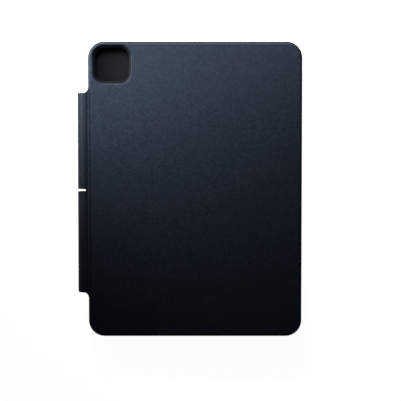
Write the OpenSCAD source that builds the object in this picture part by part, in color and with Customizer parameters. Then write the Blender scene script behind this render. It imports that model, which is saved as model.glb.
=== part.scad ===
// Keyboard case for an 11-inch tablet. A tray with a leather-look back holds the
// tablet, a flap on its left edge wraps the tablet's pencil, and a friction hinge on
// its right edge joins it to the keyboard half. The case lies closed on that half:
// X runs across it towards the hinge, Y along it towards the camera end, Z up.
// The stack is drawn about the middle of the back panel, and place() then moves it
// so that the origin is under the middle of the whole case.

/* [Tablet] */
// Width of the tablet that the tray holds
tablet_w = 178.5; // [177:0.5:180]
// Length of the tablet
tablet_l = 247.6; // [246:0.2:249]
// Thickness of the tablet
tablet_t = 5.9; // [5.6:0.1:6.4]
// Diameter of the pencil that the flap wraps
pencil_d = 8.9; // [8.6:0.1:9]

/* [Tray] */
// Wall of the tray along the tablet's long sides
side_wall = 1.55; // [1.4:0.05:1.8]
// Wall of the tray along the tablet's short sides
end_wall = 1.7; // [1.5:0.05:2]
// Radius of the case's corners, seen from above
corner_r = 13.7; // [12:0.1:15]
// How far the front lip laps over the tablet's glass
lip_lap = 1.2; // [0.8:0.1:1.6]
// Thickness of the front lip
lip_t = 0.8; // [0.6:0.1:1]
// Thickness of the soft lining behind the tablet
lining_t = 0.4; // [0.3:0.1:0.6]
// Thickness of the stiff back shell
shell_t = 1.4; // [1.2:0.1:1.6]
// Thickness of the leather-look skin on the back
skin_t = 0.8; // [0.6:0.1:1]
// Radius of the rounded edge of the back
back_edge_r = 2; // [1.8:0.1:2.2]

/* [Camera cutout] */
// Width and height of the bezel around the camera cutout
bezel_outer = 33.6; // [32:0.1:34]
// Width and height of the clear hole in the bezel
bezel_inner = 28.6; // [28:0.1:30]
// Corner radius of the bezel's outer edge
bezel_r = 9.8; // [9:0.1:11]
// Distance of the cutout's centre from the middle of the case, to the left
camera_x = 70.4; // [69:0.1:71]
// Distance of the cutout's centre from the middle of the case, upwards
camera_y = 106.1; // [105:0.1:106.3]

/* [Pencil flap] */
// Length of the flap
flap_l = 170; // [168:1:172]
// How far the flap's middle sits below the middle of the case
flap_drop = 2.8; // [1:0.1:4]
// How far the flap reaches past the panel's edge
flap_reach = 9.1; // [9.1:0.1:9.6]
// Gap between the pencil and the flap's lining
pencil_gap = 0.35; // [0.3:0.05:0.45]
// Total thickness of the flap
flap_t = 1.4; // [1.2:0.1:1.4]
// Radius where the flap's ends run into the panel's edge
flare_r = 4.3; // [3:0.1:4.5]
// Distance of the pressed fold groove from the panel's edge
groove_in = 2.1; // [1.9:0.1:2.3]
// Width of the notch across the flap
notch_w = 2.2; // [1.8:0.1:3]
// Depth of the notch from the flap's outer edge
notch_depth = 7.1; // [6.5:0.1:7.1]
// Distance of the notch below the middle of the case
notch_drop = 0.6; // [0:0.1:2]

/* [Keyboard half] */
// Height of the rubber feet
foot_h = 1; // [0.8:0.1:1.2]
// Height of the space inside the keyboard half
base_space = 6; // [6:0.1:6.4]
// Thickness of the keyboard deck
deck_t = 1.4; // [1.2:0.1:1.5]
// Radius of the rounded edge around the underside
base_edge_r = 1.6; // [1.2:0.1:1.8]
// Distance from one key to the next along a row
key_pitch = 16.8; // [16.4:0.1:17]
// Distance from one row of keys to the next
row_pitch = 16.4; // [16:0.1:16.4]
// Depth of the function row
function_depth = 9; // [8.6:0.1:9.2]
// How far a key goes down
key_travel = 1; // [0.8:0.1:1]
// Length of the trackpad
trackpad_l = 95.4; // [90:0.2:98]
// Depth of the trackpad
trackpad_w = 53.4; // [50:0.2:54]

/* [Hinge] */
// Radius of the hinge barrel
barrel_r = 2.5; // [2.4:0.05:2.5]
// Diameter of the hinge pins
pin_d = 2.6; // [2.4:0.1:2.8]
// Radial play of the tray's knuckles on the pins
pin_play = 0.03; // [0.02:0.01:0.05]

/* [Hidden] */

$fn = 48;
eps = 0.01;

// The panel's outline, and the levels of the closed stack from the feet up
case_w = tablet_w + 2 * side_wall;
case_l = tablet_l + 2 * end_wall;
base_skin_t = 0.6;
floor_t = 1.2;
cover_z = foot_h + base_skin_t;
inside_z = cover_z + floor_t;
deck_z = inside_z + base_space;
deck_top = deck_z + deck_t;
gasket_h = 0.3;
lip_z = deck_top + 0.6;
tablet_z = lip_z + lip_t;
lining_z = tablet_z + tablet_t + 0.1;
shell_z = lining_z + lining_t;
skin_z = shell_z + shell_t;
back_z = skin_z + skin_t;
fit_gap = 0.3;

// The hinge's axis runs along Y, low enough for the tray to open to 120 degrees
hinge_x = case_w / 2 - 3;
hinge_z = lip_z - barrel_r - fit_gap;
base_right = hinge_x - barrel_r - 0.9;
base_right_r = 6;
knuckle_w = 6;
tray_knuckle_w = 7.6;
washer_t = 0.4;
washer_gap = 0.1;
knuckle_y = 80;
hinge_span = 2 * knuckle_w + tray_knuckle_w + 2 * (washer_t + washer_gap);

// The flap's curve is an arc about the pencil, then a run in to the base's side
flap_in_r = pencil_d / 2 + pencil_gap;
flap_out_r = flap_in_r + flap_t;
pencil_x = -(case_w / 2 + flap_reach - flap_out_r);
pencil_z = tablet_z + tablet_t / 2;
arc_start = 71;
arc_end = 250;
lip_tab_x = -case_w / 2 - fit_gap;
lip_tab_z = 3.4;
flap_layer = 0.45;

// The keys' rows, from the hinge side to the front, and the columns along Y
rows_x0 = 59.5;
function_x = 72.5;
row_keys = 14;
key_gap = 2.2;
key_clear = 0.3;
key_top = deck_top + key_travel;
key_h = 2;
stem_r = 1.3;
stem_h = 0.4;
keys_half = row_keys * key_pitch / 2;
trackpad_x = -49;
magnet_spots = [[-28, 121.5], [-28, -121.5], [-85.5, -100]];
screw_spots = [[-80, 119], [-80, -119], [-20, 121], [-20, -121], [70, 121], [70, -121]];

// Every key is [first column, width in columns, row], where row 0 is the number row,
// row 4 the space bar's, row -1 the function row, and 4.25 and 3.75 its half keys
function run(first, count, row) = [for (i = [0:count - 1]) [first + i, 1, row]];
function_row = run(0, row_keys, -1);
number_row = concat([[0, 0.75, 0]], run(0.75, 12, 0));
backspace = [[12.75, 1.25, 0]];
tab = [[0, 1.25, 1]];
upper_row = concat(run(1.25, 12, 1), [[13.25, 0.75, 1]]);
caps_lock = [[0, 1.5, 2]];
home_row = run(1.5, 11, 2);
enter = [[12.5, 1.5, 2]];
left_shift = [[0, 2, 3]];
lower_row = run(2, 10, 3);
right_shift = [[12, 2, 3]];
modifiers = [[0, 1, 4], [1, 1, 4], [2, 1, 4], [3, 1.25, 4], [9.75, 1.25, 4]];
space = [[4.25, 5.5, 4]];
arrows = [[11, 1, 4.25], [12, 1, 4.25], [13, 1, 4.25], [12, 1, 3.75]];
all_keys = concat(function_row, number_row, backspace, tab, upper_row, caps_lock,
    home_row, enter, left_shift, lower_row, right_shift, modifiers, space, arrows);

function is_half(key) = key[2] > 3 && key[2] != floor(key[2]);
function key_depth(key) =
    key[2] < 0 ? function_depth - key_gap + 0.8
    : is_half(key) ? row_pitch / 2 - 1.1
    : row_pitch - key_gap;
function key_length(key) = key[1] * key_pitch - key_gap;
function key_x(key) = key[2] < 0 ? function_x : rows_x0 - key[2] * row_pitch;
function key_y(key) = keys_half - (key[0] + key[1] / 2) * key_pitch;

// The corner arc of a rounded rectangle, as points
function arc_points(x, y, r, from) =
    [for (i = [0:4]) [x + r * cos(from + i * 22.5), y + r * sin(from + i * 22.5)]];

module place() {
    translate([flap_reach / 2, 0, 0]) children();
}

// ---- Shared outlines ----

module rounded_rect(w, l, r) {
    square([w - 2 * r, l], center = true);
    square([w, l - 2 * r], center = true);
    for (sx = [-1, 1], sy = [-1, 1])
        translate([sx * (w / 2 - r), sy * (l / 2 - r)]) circle(r);
}

module key_rect(w, l, r) {
    x = w / 2 - r;
    y = l / 2 - r;
    polygon(concat(
        arc_points(x, y, r, 0), arc_points(-x, y, r, 90),
        arc_points(-x, -y, r, 180), arc_points(x, -y, r, 270)
    ));
}

module slab(z, h) {
    translate([0, 0, z]) linear_extrude(h) children();
}

// A rounded rectangle whose edge follows a profile drawn from x = 0 to x = r
module swept_block(w, l, r, h) {
    translate([0, 0, h / 2]) cube([w - 2 * r, l - 2 * r, h], center = true);
    for (sx = [-1, 1], sy = [-1, 1])
        translate([sx * (w / 2 - r), sy * (l / 2 - r), 0]) rotate_extrude() children();
    for (turn = [0, 180]) {
        rotate([0, 0, turn]) translate([w / 2 - r, 0, 0]) rotate([90, 0, 0])
            linear_extrude(l - 2 * r, center = true) children();
        rotate([0, 0, turn + 90]) translate([l / 2 - r, 0, 0]) rotate([90, 0, 0])
            linear_extrude(w - 2 * r, center = true) children();
    }
}

module round_edge(r, h, edge) {
    square([r - edge, h]);
    if (h > edge) square([r, h - edge]);
    translate([r - edge, h - edge]) intersection() {
        circle(edge);
        square(edge);
    }
}

module camera_place() {
    translate([-camera_x, camera_y, 0]) children();
}

// The keyboard half's outline: it stops short of the hinge barrel on the right
module base_outline(inset) {
    left = -case_w / 2 + inset;
    right = base_right - inset;
    half = case_l / 2 - inset;
    left_r = corner_r - inset;
    right_r = base_right_r - inset;
    translate([left + left_r, -half]) square([right - left - left_r - right_r, 2 * half]);
    translate([left, left_r - half]) square([left_r, 2 * (half - left_r)]);
    translate([right - right_r, right_r - half]) square([right_r, 2 * (half - right_r)]);
    for (s = [-1, 1]) {
        translate([left + left_r, s * (half - left_r)]) circle(left_r);
        translate([right - right_r, s * (half - right_r)]) circle(right_r);
    }
}

// The lower edge's profile for the keyboard half, rounded at the bottom
module round_foot(w, h, edge) {
    translate([0, h]) mirror([0, 1]) round_edge(w, h, edge);
}

// The keyboard half's outline as a block with a rounded lower edge
module base_block(inset, z, h, edge) {
    left = -case_w / 2 + inset;
    right = base_right - inset;
    half = case_l / 2 - inset;
    left_r = corner_r - inset;
    right_r = base_right_r - inset;
    middle_x = left + left_r;
    middle_w = right - right_r - middle_x;
    translate([0, 0, z]) {
        translate([middle_x, right_r - half, 0]) cube([middle_w, 2 * (half - right_r), h]);
        for (flip = [0, 1]) mirror([0, flip, 0]) {
            translate([middle_x, left_r - half, 0]) rotate_extrude() round_foot(left_r, h, edge);
            translate([right - right_r, right_r - half, 0]) rotate_extrude()
                round_foot(right_r, h, edge);
            translate([middle_x, half - right_r, 0]) rotate([90, 0, 90]) linear_extrude(middle_w)
                round_foot(right_r, h, edge);
        }
        translate([right - right_r, 0, 0]) rotate([90, 0, 0])
            linear_extrude(2 * (half - right_r), center = true) round_foot(right_r, h, edge);
        translate([middle_x, 0, 0]) mirror([1, 0, 0]) rotate([90, 0, 0])
            linear_extrude(2 * (half - left_r), center = true) round_foot(left_r, h, edge);
    }
}

// ---- Keyboard half ----

port_x = 50;
port_z = inside_z + 1.9;
port_w = 9;
port_h = 3.2;
port_depth = 8.9;
switch_x = 30;
switch_z = inside_z + 3;
switch_travel = 3;
wall_t = floor_t + base_skin_t;

// A slot with round ends, cut along Y through the wall at the camera end
module wall_slot(x, z, w, h) {
    translate([x, case_l / 2, z]) rotate([90, 0, 0])
        linear_extrude(2 * wall_t + 1, center = true) stadium(w, h);
}

module stadium(w, h) {
    square([w - h, h], center = true);
    for (s = [-1, 1]) translate([s * (w - h) / 2, 0]) circle(h / 2);
}

module base_wall_openings() {
    wall_slot(port_x, port_z, port_w, port_h);
    wall_slot(switch_x + switch_travel / 2, switch_z, 3.6 + switch_travel + 0.6, 2.2);
    for (s = [-1, 1]) {
        arm_y = s * (knuckle_y + hinge_span / 2);
        translate([base_right, arm_y, deck_z]) cube([6, hinge_span + 0.4, 3.2], center = true);
    }
}

module base_skin() {
    color([0.09, 0.1, 0.13]) place() difference() {
        base_block(0, foot_h, deck_z - foot_h, base_edge_r);
        base_block(base_skin_t, cover_z, base_space + floor_t + 1, base_edge_r - base_skin_t);
        base_wall_openings();
    }
}

boss_r = 2.2;
screw_r = 1;
screw_head_r = 1.9;
screw_head_h = 0.8;

module bottom_cover() {
    post_spots = [[-10, 110], [-10, -110], [-10, 0], [30, 40], [30, -55], [30, 0],
        [74, 0], [74, -60], [74, -112]];
    board_posts = [[33, 74], [63, 74], [33, 112], [63, 112]];
    color([0.12, 0.12, 0.13]) place() difference() {
        union() {
            difference() {
                base_block(base_skin_t, cover_z, deck_z - cover_z, base_edge_r - base_skin_t);
                slab(inside_z, base_space + 1) base_outline(wall_t);
            }
            slab(inside_z - eps, base_space + eps)
                for (p = screw_spots) translate(p) circle(boss_r);
            slab(inside_z - eps, backplate_z - inside_z + eps)
                for (p = post_spots) translate(p) circle(boss_r);
            slab(inside_z - eps, board_z - inside_z + eps)
                for (p = board_posts) translate(p) circle(1.6);
        }
        for (p = screw_spots) translate([p[0], p[1], cover_z - eps]) {
            cylinder(r = screw_r + 0.1, h = 10);
            cylinder(r = screw_head_r + 0.1, h = screw_head_h + eps);
        }
        for (s = [-1, 1], x = hinge_screw_x)
            translate([x, s * (knuckle_y + hinge_span / 2), cover_z - eps])
                cylinder(r = hinge_screw_r, h = 2);
        base_wall_openings();
    }
}

module rubber_feet() {
    color([0.07, 0.07, 0.07]) place()
        for (x = [-76, 70], y = [-108, 108]) translate([x, y, 0]) {
            cylinder(r1 = 4.6, r2 = 5, h = 0.3);
            translate([0, 0, 0.3]) cylinder(r = 5, h = foot_h - 0.3);
        }
}

light_spots = [[60, 121], [56.5, 121], [53, 121]];
light_r = 0.6;

module keyboard_deck() {
    color([0.13, 0.14, 0.16]) place() difference() {
        slab(deck_z, deck_t) difference() {
            base_outline(0);
            for (key = all_keys) translate([key_x(key), key_y(key)])
                key_rect(key_depth(key) + 2 * key_clear, key_length(key) + 2 * key_clear, 1.5);
            translate([trackpad_x, 0])
                key_rect(trackpad_w + 2 * key_clear, trackpad_l + 2 * key_clear, 3.3);
            for (p = light_spots) translate(p) circle(light_r);
        }
        for (p = screw_spots) translate([p[0], p[1], deck_z - eps])
            cylinder(r = screw_r, h = 1 + eps);
    }
}

module deck_gasket() {
    gasket_in = 2;
    gasket_w = 1.6;
    color([0.1, 0.1, 0.1]) place() slab(deck_top, gasket_h) difference() {
        base_outline(gasket_in);
        base_outline(gasket_in + gasket_w);
    }
}

backplate_z = inside_z + 3.6;
backplate_t = 0.6;
membrane_z = backplate_z + backplate_t;
membrane_t = 0.2;
dome_z = membrane_z + membrane_t;
stack_x0 = -16;
stack_x1 = 79.4;
stack_l = 237;
ribbon_x = 33;
ribbon_y = 92;
ribbon_w = 12;
ribbon_t = 0.2;
ribbon_slot = 1.4;

module stack_plate(edge) {
    difference() {
        translate([stack_x0 + edge, edge - stack_l / 2])
            square([stack_x1 - stack_x0 - 2 * edge, stack_l - 2 * edge]);
        translate([ribbon_x, ribbon_y]) square([ribbon_slot, ribbon_w + 2], center = true);
    }
}

module key_backplate() {
    color([0.62, 0.63, 0.65]) place() slab(backplate_z, backplate_t) stack_plate(0);
}

module membrane_sheet() {
    color([0.75, 0.76, 0.7]) place() slab(membrane_z, membrane_t) stack_plate(0.5);
}

// Domes sit under every key, and a second and third pair under the long space bar
function dome_offsets(key) = key[1] > 5 ? [-32, 0, 32] : [0];

module rubber_domes() {
    color([0.8, 0.8, 0.78]) place()
        for (key = all_keys, off = dome_offsets(key))
            translate([key_x(key), key_y(key) + off, dome_z])
                cylinder(r1 = 2.4, r2 = stem_r, h = key_top - key_h - stem_h - dome_z);
}

// A crossed pair of flat bars on both sides of each dome
module scissor_supports() {
    bar_w = 0.9;
    bar_t = 0.5;
    mid_z = (dome_z + key_top - key_h) / 2;
    color([0.85, 0.85, 0.83]) place()
        for (key = all_keys, off = dome_offsets(key), side = [-1, 1], lean = [-1, 1])
            translate([key_x(key), key_y(key) + off + side * (3.6 + 0.5 * lean), mid_z])
                rotate([0, lean * 8.5, 0])
                    cube([key_depth(key) > 8 ? 10 : 5.4, bar_w, bar_t], center = true);
}

board_z = inside_z + 0.6;
board_t = 0.8;

module circuit_board() {
    color([0.08, 0.3, 0.16]) place() {
        translate([30, 70, board_z]) cube([36, 45.4, board_t]);
        translate([54, 76, board_z + board_t]) cube([6, 6, 0.9]);
        translate([46, 104, board_z + board_t]) cube([4, 4, 0.7]);
        translate([55, 92, board_z + board_t]) cube([3, 5, 1]);
    }
}

module radio_module() {
    color([0.7, 0.7, 0.72]) place()
        translate([39, 74, board_z + board_t]) cube([11, 14, 1.5]);
}

module battery_pack() {
    cell = [56, 56, 4];
    pad_t = 0.2;
    color([0.75, 0.76, 0.78]) place()
        for (s = [-1, 1])
            translate([-55, s * 85, inside_z + pad_t + cell[2] / 2]) cube(cell, center = true);
}

module ribbon_cable() {
    board_top = board_z + board_t;
    board_tail = 4;
    membrane_tail = 1;
    color([0.75, 0.5, 0.2]) place() translate([ribbon_x, ribbon_y - ribbon_w / 2, 0]) {
        translate([-ribbon_t / 2, 0, board_top]) cube([ribbon_t, ribbon_w, dome_z - board_top]);
        translate([ribbon_t / 2, 0, board_top]) cube([board_tail, ribbon_w, ribbon_t]);
        translate([-ribbon_t / 2 - membrane_tail, 0, dome_z])
            cube([membrane_tail + ribbon_t, ribbon_w, ribbon_t]);
    }
}

module charging_port() {
    color([0.7, 0.7, 0.72]) place()
        translate([port_x, case_l / 2 - base_skin_t, port_z]) rotate([90, 0, 0]) {
            difference() {
                linear_extrude(port_depth) stadium(port_w, port_h);
                translate([0, 0, -eps]) linear_extrude(port_depth - 1) stadium(8.3, 2.5);
            }
            translate([0, 0, port_depth / 2 + 0.3]) cube([6.7, 0.7, port_depth - 2], center = true);
        }
}

module status_lights() {
    color([0.8, 0.85, 0.8]) place() slab(deck_z - 0.6, deck_t + 0.7)
        for (p = light_spots) translate(p) circle(light_r);
}

module power_switch() {
    inner_y = case_l / 2 - wall_t;
    color([0.2, 0.2, 0.21]) place() {
        translate([switch_x, inner_y - 0.5, switch_z]) cube([9, 0.6, 3.4], center = true);
        translate([switch_x, inner_y - 0.25, switch_z]) rotate([-90, 0, 0])
            linear_extrude(wall_t + 0.25) stadium(3.6, 1.6);
    }
}

module base_magnets() {
    color([0.65, 0.66, 0.68]) place() slab(deck_z - 1.4, 1.4)
        for (p = magnet_spots) translate(p) circle(1.7);
}

module wake_magnet() {
    color([0.65, 0.66, 0.68]) place() slab(deck_z - 1.2, 1.2) translate([-85.5, 50]) circle(2);
}

module flap_keeper() {
    keeper_l = flap_l - 14;
    color([0.6, 0.6, 0.62]) place()
        translate([-case_w / 2 + wall_t, -flap_drop - keeper_l / 2, inside_z + 0.6])
            cube([0.8, keeper_l, 4.8]);
}

module base_screws() {
    color([0.55, 0.55, 0.57]) place()
        for (p = screw_spots) translate([p[0], p[1], cover_z]) difference() {
            union() {
                cylinder(r = screw_head_r, h = screw_head_h);
                cylinder(r = screw_r, h = deck_z + 1 - cover_z);
            }
            translate([0, 0, -eps]) linear_extrude(0.5) star_socket(0.7);
        }
}

// A six-sided driver socket
module star_socket(r) {
    circle(r, $fn = 6);
}

trackpad_rise = 0.1;
trackpad_t = 0.9;

module trackpad() {
    color([0.16, 0.17, 0.19]) place()
        slab(deck_top + trackpad_rise - trackpad_t, trackpad_t)
            translate([trackpad_x, 0]) key_rect(trackpad_w, trackpad_l, 3);
}

module trackpad_bracket() {
    color([0.6, 0.6, 0.62]) place() slab(deck_z - 0.6, 0.6) translate([trackpad_x, 0])
        difference() {
            square([trackpad_w + 8, trackpad_l + 8], center = true);
            for (sx = [-1, 1], sy = [-1, 1])
                translate([sx * trackpad_w / 4, sy * trackpad_l / 4])
                    square([trackpad_w / 3, trackpad_l / 3], center = true);
        }
}

module trackpad_switch() {
    color([0.5, 0.5, 0.5]) place() translate([trackpad_x, 0, deck_z]) cylinder(r = 2.5, h = 0.2);
}

// ---- Hinge ----

hinge_screw_x = [72, 77];
hinge_screw_r = 0.9;
leaf_t = 0.8;

// Draws its children at both hinges, mirrored end for end
module both_hinges() {
    for (flip = [0, 1]) mirror([0, flip, 0]) children();
}

// A length of barrel about the hinge's axis, starting at y
module barrel(y, w, r) {
    translate([hinge_x, y + w, hinge_z]) rotate([90, 0, 0]) cylinder(r = r, h = w);
}

module hinge_base_brackets() {
    leaf_x0 = 69;
    riser_x = base_right - wall_t - 1;
    color([0.45, 0.45, 0.47]) place() both_hinges() difference() {
        union() {
            translate([leaf_x0, knuckle_y, inside_z])
                cube([riser_x + leaf_t - leaf_x0, hinge_span, leaf_t]);
            translate([riser_x, knuckle_y, inside_z]) cube([leaf_t, hinge_span, hinge_z - inside_z]);
            for (y = [knuckle_y, knuckle_y + hinge_span - knuckle_w]) {
                translate([riser_x, y, hinge_z - 0.6])
                    cube([hinge_x - riser_x, knuckle_w, 1.2]);
                barrel(y, knuckle_w, barrel_r);
            }
        }
        barrel(knuckle_y - 1, hinge_span + 2, pin_d / 2);
        for (x = hinge_screw_x)
            translate([x, knuckle_y + hinge_span / 2, inside_z - 1]) cylinder(r = hinge_screw_r, h = 3);
    }
}

module hinge_pins() {
    color([0.7, 0.7, 0.72]) place() both_hinges() barrel(knuckle_y, hinge_span, pin_d / 2);
}

module friction_washers() {
    near_y = knuckle_y + knuckle_w;
    far_y = knuckle_y + hinge_span - knuckle_w - washer_t;
    color([0.6, 0.55, 0.4]) place() both_hinges() difference() {
        for (y = [near_y, far_y]) barrel(y, washer_t, barrel_r - 0.2);
        barrel(knuckle_y, hinge_span, pin_d / 2);
    }
}

module hinge_cover() {
    cover_gap = 1.5;
    middle_l = 2 * (knuckle_y - cover_gap);
    end_y = knuckle_y + hinge_span + cover_gap;
    end_l = 16;
    color([0.1, 0.11, 0.13]) place() {
        cover_length(-middle_l / 2, middle_l);
        both_hinges() cover_length(end_y, end_l);
    }
}

// A stretch of hollow cover with the foot that joins it to the keyboard half's edge
module cover_length(y, w) {
    difference() {
        union() {
            barrel(y, w, barrel_r);
            translate([base_right, y, hinge_z - barrel_r])
                cube([hinge_x - base_right, w, barrel_r + 1.5]);
        }
        translate([0, -1, 0]) barrel(y, w + 2, barrel_r - 0.8);
    }
}

module hinge_screws() {
    color([0.55, 0.55, 0.57]) place() both_hinges()
        for (x = hinge_screw_x) translate([x, knuckle_y + hinge_span / 2, cover_z]) {
            cylinder(r = hinge_screw_r, h = floor_t + leaf_t);
            translate([0, 0, floor_t + leaf_t]) cylinder(r = 1.6, h = 0.7);
        }
}

bracket_rise = 6;

module tray_bracket_plate() {
    translate([hinge_x + barrel_r - leaf_t, knuckle_y + knuckle_w + washer_t + washer_gap, hinge_z])
        cube([leaf_t, tray_knuckle_w, lip_z + bracket_rise - hinge_z]);
}

module hinge_tray_brackets() {
    color([0.45, 0.45, 0.47]) place() both_hinges() difference() {
        union() {
            tray_bracket_plate();
            barrel(knuckle_y + knuckle_w + washer_t + washer_gap, tray_knuckle_w, barrel_r);
        }
        barrel(knuckle_y, hinge_span, pin_d / 2 + pin_play);
    }
}

// ---- Keys ----

module keycaps(keys) {
    color([0.1, 0.1, 0.11]) place()
        for (key = keys) translate([key_x(key), key_y(key), key_top - key_h]) {
            linear_extrude(key_h) key_rect(key_depth(key), key_length(key), 1.2);
            for (off = dome_offsets(key)) translate([0, off, -stem_h])
                cylinder(r = stem_r, h = stem_h + eps);
        }
}

module function_keys() {
    keycaps(function_row);
}

module number_keys() {
    keycaps(number_row);
}

module backspace_key() {
    keycaps(backspace);
}

module tab_key() {
    keycaps(tab);
}

module upper_letter_keys() {
    keycaps(upper_row);
}

module caps_lock_key() {
    keycaps(caps_lock);
}

module home_letter_keys() {
    keycaps(home_row);
}

module enter_key() {
    keycaps(enter);
}

module left_shift_key() {
    keycaps(left_shift);
}

module lower_letter_keys() {
    keycaps(lower_row);
}

module right_shift_key() {
    keycaps(right_shift);
}

module modifier_keys() {
    keycaps(modifiers);
}

module space_bar() {
    keycaps(space);
}

module arrow_keys() {
    keycaps(arrows);
}

// ---- Tray ----

module panel_block(inset, z, h, edge) {
    r = corner_r - inset;
    translate([0, 0, z]) swept_block(case_w - 2 * inset, case_l - 2 * inset, r, h)
        round_edge(r, h, edge);
}

module camera_hole(size, r) {
    camera_place() slab(lining_z - 1, 5) rounded_rect(size, size, r);
}

// The groove pressed into the skin along the flap, so that the flap folds cleanly
module fold_groove() {
    r = 0.5;
    depth = 0.55;
    translate([groove_in - case_w / 2, -flap_drop, back_z - depth + r]) rotate([90, 0, 0])
        cylinder(r = r, h = flap_l, center = true);
}

module back_skin() {
    color([0.1, 0.12, 0.16]) place() difference() {
        panel_block(0, shell_z, back_z - shell_z, back_edge_r);
        panel_block(skin_t, shell_z, shell_t, back_edge_r - skin_t);
        slab(shell_z - 1, 1)
            rounded_rect(case_w - 2 * skin_t, case_l - 2 * skin_t, corner_r - skin_t);
        camera_hole(bezel_outer, bezel_r);
        fold_groove();
    }
}

module back_shell() {
    color([0.14, 0.14, 0.15]) place() difference() {
        panel_block(skin_t, shell_z, shell_t, back_edge_r - skin_t);
        camera_hole(bezel_outer, bezel_r);
    }
}

module tray_lining() {
    inset = 0.1;
    color([0.3, 0.31, 0.33]) place() slab(lining_z, lining_t) difference() {
        rounded_rect(tablet_w - inset, tablet_l - inset, corner_r - side_wall);
        camera_place() square(bezel_outer, center = true);
    }
}

// The bezel slopes down from the skin to the clear hole, whose corners are eased
module camera_bezel() {
    foot_r = bezel_r - (bezel_outer - bezel_inner) / 2;
    hole_ease = 0.3;
    bevel_h = 2.1;
    top_h = bevel_h + eps;
    color([0.2, 0.22, 0.25]) place() camera_place() difference() {
        slab(lining_z, back_z - lining_z) rounded_rect(bezel_outer, bezel_outer, bezel_r);
        slab(lining_z - 1, 5) rounded_rect(bezel_inner, bezel_inner, foot_r + hole_ease);
        translate([0, 0, back_z - bevel_h]) swept_block(bezel_outer, bezel_outer, bezel_r, top_h)
            polygon([[0, 0], [foot_r, 0], [bezel_r, top_h], [0, top_h]]);
    }
}

// The side buttons: [along, slot length], and how far they stand out and go in
button_z = tablet_z + tablet_t / 2;
button_h = 2.2;
button_l = 10;
button_play = 0.2;
button_proud = 0;
volume_up_y = 105;
volume_down_y = 92.8;
power_x = -68;
flange_t = 0.4;
flange_in = 0.35;

// Draws its children on the left wall at y, with the outward direction along -X
module on_left_wall(y) {
    translate([-case_w / 2, y, button_z]) rotate([90, 0, -90]) children();
}

// Draws its children on the wall at the camera end, outwards along +Y
module on_top_wall(x) {
    translate([x, case_l / 2, button_z]) rotate([90, 0, 180]) children();
}

module button_body(wall) {
    translate([0, 0, flange_in - wall]) linear_extrude(wall - flange_in + button_proud)
        stadium(button_l, button_h);
    translate([0, 0, flange_in - wall]) linear_extrude(flange_t)
        stadium(button_l + 1, button_h + 1);
}

module button_slot(wall) {
    translate([0, 0, -wall - 1]) linear_extrude(wall + 2)
        stadium(button_l + 2 * button_play, button_h + 2 * button_play);
    translate([0, 0, -wall - 1]) linear_extrude(1 + flange_in + flange_t + 0.1)
        stadium(button_l + 1 + 2 * button_play, button_h + 1 + 2 * button_play);
}

tray_magnet = [10, 1, 4];

// Three magnets in the rim: two in the end walls and one in the left wall
module tray_magnet_set() {
    for (s = [-1, 1])
        translate([-28, s * (case_l / 2 - end_wall / 2), button_z]) cube(tray_magnet, center = true);
    translate([-case_w / 2 + side_wall / 2, -100, button_z]) rotate([0, 0, 90])
        cube(tray_magnet, center = true);
}

module end_slot(x, y, w, h) {
    translate([x, y, button_z]) rotate([90, 0, 0]) linear_extrude(2 * end_wall + 1, center = true)
        stadium(w, h);
}

// The gap in the rim along the flap, where the pencil rests against the tablet
module pencil_window() {
    lip_left = 1;
    height = shell_z - lip_z + 2;
    translate([-case_w / 2 - 1, -flap_drop - flap_l / 2, lip_z - 1])
        cube([1 + lip_left, flap_l, height]);
    translate([-case_w / 2, -flap_drop - flap_l / 2, tablet_z])
        cube([side_wall + 1, flap_l, height]);
}

module tray_frame() {
    tablet_r = corner_r - side_wall;
    color([0.11, 0.12, 0.14]) place() difference() {
        slab(lip_z, shell_z - lip_z) rounded_rect(case_w, case_l, corner_r);
        slab(tablet_z, shell_z) rounded_rect(tablet_w, tablet_l, tablet_r);
        slab(lip_z - 1, 3)
            rounded_rect(tablet_w - 2 * lip_lap, tablet_l - 2 * lip_lap, tablet_r - lip_lap);
        pencil_window();
        end_slot(0, -case_l / 2, 12, 5);
        for (x = [-50, 50], y = [-case_l / 2, case_l / 2]) end_slot(x, y, 14, 2.4);
        on_left_wall(volume_up_y) button_slot(side_wall);
        on_left_wall(volume_down_y) button_slot(side_wall);
        on_top_wall(power_x) button_slot(end_wall);
        tray_magnet_set();
        both_hinges() tray_bracket_plate();
    }
}

module tray_magnets() {
    color([0.65, 0.66, 0.68]) place() tray_magnet_set();
}

module volume_up_button() {
    color([0.16, 0.17, 0.19]) place() on_left_wall(volume_up_y) button_body(side_wall);
}

module volume_down_button() {
    color([0.16, 0.17, 0.19]) place() on_left_wall(volume_down_y) button_body(side_wall);
}

module power_button() {
    color([0.16, 0.17, 0.19]) place() on_top_wall(power_x) button_body(end_wall);
}

// ---- Pencil flap ----

// Where the flap's band meets the run in to the base, at a radius from the pencil
function arc_point(r, angle) = [pencil_x + r * cos(angle), pencil_z + r * sin(angle)];
function tab_x(r) = lip_tab_x - (r - flap_in_r);
function run_corner(r) =
    let (start = arc_point(r, arc_end))
    [tab_x(r), start[1] + (tab_x(r) - start[0]) * tan(arc_end + 90)];

// The flap's cross-section between two radii, with X across and Y up
module flap_band(inner, outer, bottom) {
    step = (arc_end - arc_start) / 36;
    polygon(concat(
        [for (i = [0:36]) arc_point(inner, arc_start + i * step)],
        [run_corner(inner), [tab_x(inner), bottom], [tab_x(outer), bottom], run_corner(outer)],
        [for (i = [36:-1:0]) arc_point(outer, arc_start + i * step)]
    ));
}

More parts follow.
